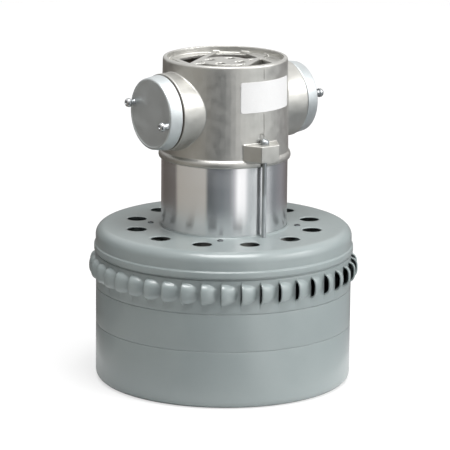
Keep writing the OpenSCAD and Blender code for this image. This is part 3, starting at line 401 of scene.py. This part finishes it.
def eased_copy(name, node, voxel_mm, passes, kept):
    """A copy of a CAD solid, its points welded, remeshed on a grid of voxel_mm and smoothed passes times.

    Flat parts are then thinned until only the share kept of the faces is left.
    """
    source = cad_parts[node]
    piece = bpy.data.objects.new(name, source.data.copy())
    bpy.context.scene.collection.objects.link(piece)
    weld = piece.modifiers.new("weld", "WELD")
    weld.merge_threshold = 1e-6
    grid = piece.modifiers.new("grid", "REMESH")
    grid.mode, grid.voxel_size, grid.use_smooth_shade = "VOXEL", voxel_mm / 1000, True
    ease = piece.modifiers.new("ease", "SMOOTH")
    ease.factor, ease.iterations = 0.5, passes
    thin = piece.modifiers.new("thin", "DECIMATE")
    thin.ratio = kept
    bpy.context.view_layer.update()
    solid = bpy.data.meshes.new_from_object(piece.evaluated_get(bpy.context.evaluated_depsgraph_get()))
    piece.modifiers.clear()
    piece.data = solid
    solid.materials.clear()
    return piece


casting = eased_copy("bracket_casting", "commutator_bracket", 0.5, 1, 0.35)
casting.data.materials.append(cast_skin)
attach(casting, "motor")
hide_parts("commutator_bracket")
dress(cast_skin, "fan_end_bracket")

# Parting line: the thin flash that the two die halves leave up the casting's front and back.
# An oval bead half sunk in the drafted wall, left off where the label is stuck over it. A run is its side, -1 for
# the front, with the heights it starts and ends at; ends holds the faces that close the twelve points at a tip.
bracket_r, foot_h, draft = 53.0, 6.4, math.radians(1.0)


def wall_r(z):
    """Radius of the bracket's drafted wall at a height, in mm."""
    return bracket_r - (z - z_foot - foot_h) * math.tan(draft)


runs = np.array([(-1, 208.4, 232.0), (-1, 260.2, 268.6), (1, 208.4, 268.6)])
flash_x, flash_out, flash_half = 2.2, 0.28, 0.4
share = np.linspace(0, 1, 24)
bend = np.linspace(0, 2 * np.pi, 13)[:-1]
side, rise = runs[:, :1, None], runs[:, 1:2] + (runs[:, 2:] - runs[:, 1:2]) * share
bead_out = wall_r(rise)[..., None] + flash_out * np.sin(bend)
beads = np.stack([flash_x - side * flash_half * np.cos(bend) + 0 * bead_out, side * bead_out,
                  rise[..., None] + 0 * bead_out], -1)
ends = np.array([[0, 1, 2, 3], [3, 4, 5, 6], [6, 7, 8, 9], [9, 10, 11, 0], [0, 3, 6, 9]])
bead_faces = np.concatenate([grid_faces(len(share), len(bend), False, True), ends[:, ::-1],
                             ends + (len(share) - 1) * len(bend)])
add_piece("parting_flash", beads.reshape(-1, 3), copies(bead_faces, len(runs), len(share) * len(bend)), cast_skin,
          "cast_aluminium")

# Brush caps: die cast discs with a fine turned face, drafted sides and a rounded edge, under a thin clear lacquer.
# Each closes a boss over its brush holder's flange, takes the brush spring's end in a pocket at its back and is
# held by two tall screws.
turned_face = new_finish("lacquered turned aluminium", Metallic=0.8, Coat_Weight=0.15, Coat_Roughness=0.3)
mottle(turned_face, "#C6CBCC", "#B4B9BA", 12, (0.38, 0.48), 0.8, 0.01)
brush_z, cap_in, cap_out, cap_r, cap_face_r, pocket_r, pocket_x = 231, 63.2, 74.6, 31.0, 29.3, 17.7, 70.6
dish_r, dish = 27.0, 0.3
# The outline's two ends are drawn a hair off the axis, where their corners can be rounded, and then set on it
hair = 0.01
cap_outline = soft_profile([(hair, pocket_x, 0.001), (pocket_r, pocket_x, 0.6), (pocket_r, cap_in, 0.3),
                            (cap_r - 0.5, cap_in, 0.3), (cap_r, cap_in + 0.6, 0.4), (cap_face_r, cap_out, 1.5),
                            (dish_r + 0.4, cap_out, 0.3), (dish_r, cap_out - dish, 0.2),
                            (hair, cap_out - dish, 0.001)], 6)
cap_outline[:, 0] = np.where(cap_outline[:, 0] < 2 * hair, 0, cap_outline[:, 0])
for name, axis in (("left", "-x"), ("right", "+x")):
    add_piece(f"cap_{name}", *turned_at(cap_outline, [(0, 0, brush_z)], axis, 144), turned_face[0], "cap_enamel",
              (f"brush_cap_{name}",))

# Brush springs: seven turns of drawn steel wire behind each brush, the first and last turn closed.
# The inner end goes with the brush and the outer end stays in the cap's pocket, so the turns between close up.
drawn_wire = mottle(new_finish("drawn spring wire", Metallic=1.0), "#A9AAAC", "#8F9092", 4, (0.25, 0.36), 0.4, 0.002)
spring_in, spring_out, coil_r, wire_r, wire_gap, turns, turn_steps = 47.1, 70.2, 3.0, 0.35, 0.04, 7, 28
wound = np.linspace(0, turns, turns * turn_steps + 1)
closed = 2 * wire_r + wire_gap
along = np.interp(wound, [0, 1, turns - 1, turns], [spring_in, spring_in + closed, spring_out - closed, spring_out])
bend = np.linspace(0, 2 * np.pi, 11)[:-1]
# A last ring of no thickness shuts each end of the wire
wound, along = np.r_[wound[0], wound, wound[-1]], np.r_[along[0], along, along[-1]]
thick_here = np.r_[[[0.0]], np.full((len(wound) - 2, 1), wire_r), [[0.0]]]
from_axis = coil_r + thick_here * np.cos(bend)
angle = 2 * np.pi * wound[:, None]
for side, name in ((-1, "left"), (1, "right")):
    coil = np.stack([side * (along[:, None] + thick_here * np.sin(bend)), side * from_axis * np.cos(angle),
                     brush_z + from_axis * np.sin(angle)], -1)
    spring = add_piece(f"spring_{name}", coil.reshape(-1, 3), grid_faces(len(wound), len(bend), False, True),
                       drawn_wire, "steel", (f"brush_spring_{name}",), None)
    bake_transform(spring)

# Cap screws: zinc plated, a tall collar under a round head with a drive in it.
# Turned form, two to a cap on a line through its middle, which leans 14 degrees from level.
zinc = mottle(new_finish("zinc plated screw steel", Metallic=1.0), "#C3C5C6", "#A6A8AA", 3, (0.22, 0.34), 0.5, 0.003)
screw_outline = np.array([(0, 80.2), (0.9, 80.2), (1.2, 81.4), (1.7, 81.95), (2.3, 81.9), (3.0, 81.3), (3.6, 80.3),
                          (3.78, 79.2), (3.65, 78.4), (3.3, 78.15), (2.5, 78.1), (2.5, 74.9), (2.7, 74.5),
                          (2.1, 74.3), (2.1, 54.6), (0, 54.3)])
cap_screw_at, lean = 25.2, math.radians(14)
for side, name, axis in ((-1, "left", "-x"), (1, "right", "+x")):
    places = [(0, end * side * cap_screw_at * math.cos(lean), brush_z - end * cap_screw_at * math.sin(lean))
              for end in (-1, 1)]
    add_piece(f"cap_screw_pair_{name}", *turned_at(screw_outline, places, axis), zinc, "steel", ("cap_screws",))

# Through bolts: long zinc plated rods from the bracket's lugs to the fan-end bracket, plain above and rolled
# thread below. The thread is a ridge every 0.8 mm that climbs once round for each turn.
rolled_thread = mottle(new_finish("rolled thread steel", Metallic=1.0), "#A4A8AA", "#8C9092", 3, (0.34, 0.44), 0.5,
                       0.003)
bolt_top, bolt_low, thread_top, bolt_y, bolt_sides = 207.4, 121.3, 165.4, 56.5, 16
shank_r, thread_pitch, thread_depth, run_out = 1.85, 0.8, 0.1, 1.2
bend = np.arange(bolt_sides) * 2 * np.pi / bolt_sides
rise = np.arange(bolt_low + 0.3, thread_top, 0.1)
ridge = np.abs(((rise[:, None] / thread_pitch - bend[None, :] / (2 * np.pi)) % 1) - 0.5) * 2
fade = np.clip((thread_top - rise[:, None]) / run_out, 0, 1)
thread_r = shank_r + thread_depth * fade * (2 * ridge - 1)
head = np.array([(shank_r, thread_top), (shank_r, bolt_top), (3.5, bolt_top), (3.75, bolt_top + 0.4),
                 (3.7, bolt_top + 1.9), (3.3, bolt_top + 2.9), (2.6, bolt_top + 3.7), (1.6, bolt_top + 4.2),
                 (1.2, bolt_top + 3.3), (0, bolt_top + 3.1)])
rod_r = np.concatenate([np.zeros((1, bolt_sides)), thread_r, np.repeat(head[:, :1], bolt_sides, 1)])
rod_z = np.concatenate([[bolt_low], rise, head[:, 1]])[:, None] + 0 * bend
rod = np.stack([rod_r * np.cos(bend), rod_r * np.sin(bend), rod_z], -1).reshape(-1, 3)
rods = np.concatenate([rod + (0, -bolt_y, 0), rod + (0, bolt_y, 0)])
rod_faces = copies(grid_faces(len(rod_r), bolt_sides, False, True), 2, len(rod))
add_piece("through_bolt_pair", rods, rod_faces, rolled_thread, "steel", ("through_bolts",))

# Label: a blank white paper label stuck round the casting's wall, its corners rounded.
# Each row of the patch is drawn in by the corner's circle near its top and bottom.
paper, tree, shader = new_finish("coated label paper", Roughness=0.42, Coat_Weight=0.25)
place = add_node(tree, "ShaderNodeTexCoord")
fibre = add_node(tree, "ShaderNodeTexNoise", {"Vector": place.outputs["Object"], "Scale": 900.0, "Detail": 3.0})
tone = add_node(tree, "ShaderNodeMapRange", {"Value": fibre.outputs["Fac"], "To Min": 0.60, "To Max": 0.66})
tree.links.new(tone.outputs[0], shader.inputs["Base Color"])
label_low, label_high, corner, label_out, label_thick = 233.4, 258.7, 2.0, 0.28, 0.22
label_from, label_to = math.radians(front - 21.5), math.radians(front + 41.5)
v = (1 - np.cos(np.linspace(0, np.pi, 25))) / 2
z = label_low + (label_high - label_low) * v
to_edge = np.minimum(z - label_low, label_high - z)
drawn_in = corner - np.sqrt(np.clip(corner ** 2 - np.clip(corner - to_edge, 0, corner) ** 2, 0, None))
inset = drawn_in / bracket_r
u = np.linspace(0, 1, 61)
a = (label_from + inset)[:, None] + (label_to - label_from - 2 * inset)[:, None] * u[None, :]
r = (wall_r(z) + label_out)[:, None] + 0 * u[None, :]
patch = np.stack([r * np.cos(a), r * np.sin(a), z[:, None] + 0 * u[None, :]], -1).reshape(-1, 3)
add_piece("label_paper", patch, grid_faces(len(z), len(u)), paper, "label_stock", ("label",), thick=label_thick)

# Floor: a pale disc, a tenth of a millimetre below the can's bottom, so that the two faces never fight.
# For the camera alone it is darker and glows a little, so that it reads as white and keeps the shadow.
# From here on lengths are written in metres.
floor_r, floor_z, floor_sides = 2, -1e-4, 96
turn = np.arange(floor_sides) * 2 * np.pi / floor_sides
floor_points = np.stack([floor_r * np.cos(turn), floor_r * np.sin(turn), 0 * turn + floor_z], -1)
floor_mesh = bpy.data.meshes.new("floor")
floor_mesh.from_pydata(floor_points.tolist(), [], [list(range(floor_sides))])
floor = bpy.data.objects.new("floor", floor_mesh)
bpy.context.scene.collection.objects.link(floor)
pale, tree, shader = new_finish("pale studio floor", Roughness=0.9)
shader.inputs["Emission Color"].default_value = linear("#FFFFFF")
by_camera = add_node(tree, "ShaderNodeLightPath").outputs["Is Camera Ray"]
paint = add_node(tree, "ShaderNodeMix", {0: by_camera, 6: linear("#DCDCDC"), 7: linear("#969696")}, data_type="RGBA")
tree.links.new(paint.outputs[2], shader.inputs["Base Color"])
glow = add_node(tree, "ShaderNodeMath", {0: by_camera, 1: 0.64}, operation="MULTIPLY")
tree.links.new(glow.outputs[0], shader.inputs["Emission Strength"])
floor_mesh.materials.append(pale)

# Studio ring: a strip of cards round the object that only its gloss sees, light and dark as in a studio.
# Angles count from the camera's direction, positive to its right, and the tone runs evenly from one mark to the
# next; the white one is a light box and glows more than white. Above, the strip fades into the white room; close to
# the object it fades into the pale floor, as the third number of its rows (distance, height, share of white) says.
cards = [(-180, "#807C78"), (-150, "#766F6C"), (-135, "#625C57"), (-96, "#68625E"), (-89, "#B2ADA4"),
         (-33, "#BAB6AE"), (-28, "#363C40"), (-4, "#3E4850"), (10, "#6C7276"), (18, "#BEBEC2"), (24, "#FFFFFF"),
         (36, "#FFFFFF"), (42, "#D6DADC"), (52, "#9CA4A6"), (62, "#B8BCBE"), (67, "#C4C8CA"), (73, "#92989C"),
         (100, "#868A8E"), (120, "#949296"), (146, "#7A7474"), (180, "#807C78")]
light_box = 1.3
card_rows = np.array([(0.14, 0.003, 0.6), (0.24, 0.003, 0), (0.55, 0.003, 0), (0.55, 0.25, 0), (0.55, 0.43, 1)])
camera_spot = (-1.4603, -2.0549, 0.7172)
camera_side = math.atan2(camera_spot[1], camera_spot[0])
ring_sides = 720
half_side = 180 / ring_sides
turn = np.linspace(-180, 180, ring_sides, endpoint=False) + half_side
marks = [angle for angle, _ in cards]
tones = np.array([np.array(linear(colour)[:3]) * (light_box if colour == "#FFFFFF" else 1) for _, colour in cards])
shade = np.stack([np.interp(turn, marks, tone) for tone in tones.T], -1)
where = camera_side + np.radians(turn)
out, high, white = card_rows[:, :1], card_rows[:, 1:2], card_rows[:, 2:]
ring = np.stack([out * np.cos(where), out * np.sin(where), high + 0 * where], -1).reshape(-1, 3)
shade = (shade * (1 - white[..., None]) + white[..., None]).reshape(-1, 3)
ring_mesh = bpy.data.meshes.new("studio_ring")
ring_mesh.from_pydata(ring.tolist(), [], grid_faces(len(card_rows), ring_sides, False, True).tolist())
tint = ring_mesh.color_attributes.new("card", "FLOAT_COLOR", "POINT")
tint.data.foreach_set("color", np.concatenate([shade, np.ones((len(shade), 1))], 1).ravel())
studio_ring = bpy.data.objects.new("studio_ring", ring_mesh)
bpy.context.scene.collection.objects.link(studio_ring)
card_paint = bpy.data.materials.new("studio cards")
card_paint.use_nodes = True
tree = card_paint.node_tree
tree.nodes.clear()
card_tint = add_node(tree, "ShaderNodeAttribute", attribute_name="card")
lit = add_node(tree, "ShaderNodeEmission", {"Color": card_tint.outputs["Color"], "Strength": 1.0})
add_node(tree, "ShaderNodeOutputMaterial", {"Surface": lit.outputs[0]})
ring_mesh.materials.append(card_paint)
for ray in ("camera", "diffuse", "transmission", "volume_scatter", "shadow"):
    setattr(studio_ring, "visible_" + ray, False)

# Room and lamps: a white room to the camera and in gloss, which gives matt surfaces only a little light.
# A key lamp stands to the camera's right and another hangs above, both large and soft.
world = bpy.data.worlds.new("studio")
bpy.context.scene.world = world
world.use_nodes = True
tree = world.node_tree
back = tree.nodes["Background"]
path = add_node(tree, "ShaderNodeLightPath")
seen = add_node(tree, "ShaderNodeMath", {0: path.outputs["Is Camera Ray"], 1: path.outputs["Is Glossy Ray"]},
                operation="MAXIMUM")
level = add_node(tree, "ShaderNodeMapRange", {"Value": seen.outputs[0], "To Min": 0.17, "To Max": 1.0})
tree.links.new(level.outputs[0], back.inputs["Strength"])
back.inputs["Color"].default_value = (1, 1, 1, 1)


def add_lamp(name, spot, aim, size, watts):
    """A square soft lamp at spot that faces aim, both in metres."""
    data = bpy.data.lights.new(name, "AREA")
    data.size, data.energy = size, watts
    lamp = bpy.data.objects.new(name, data)
    lamp.location = spot
    lamp.rotation_euler = (Vector(aim) - Vector(spot)).to_track_quat("-Z", "Y").to_euler()
    bpy.context.scene.collection.objects.link(lamp)


def round_camera(angle, distance, height):
    """A spot that many degrees to the right of the camera's side, in metres."""
    a = camera_side + math.radians(angle)
    return (distance * math.cos(a), distance * math.sin(a), height)


add_lamp("key", round_camera(75, 4.5, 2.1), (0, 0, 0.12), 3.4, 236)
add_lamp("top", round_camera(10, 1.25, 5.0), (0, 0, 0), 3.0, 300)

# Camera: the photograph's, found by a fit to its ellipses and edges.
# The shift is written in pixels of the photograph, which is 450 wide.
photo_width, shift_right, shift_up = 450, 1.18, -1.32
camera_data = bpy.data.cameras.new("photo camera")
camera_data.sensor_width, camera_data.lens = 36, 248.08
camera_data.shift_x, camera_data.shift_y = shift_right / photo_width, shift_up / photo_width
camera = bpy.data.objects.new("photo camera", camera_data)
bpy.context.scene.collection.objects.link(camera)
spot, aim, roll = Vector(camera_spot), Vector((0, 0, 0.130)), math.radians(0.55)
facing = (aim - spot).to_track_quat("-Z", "Y").to_matrix().to_4x4()
camera.matrix_world = Matrix.Translation(spot) @ facing @ Matrix.Rotation(roll, 4, "Z")
bpy.context.scene.camera = camera
bpy.context.scene.view_settings.view_transform = "Standard"
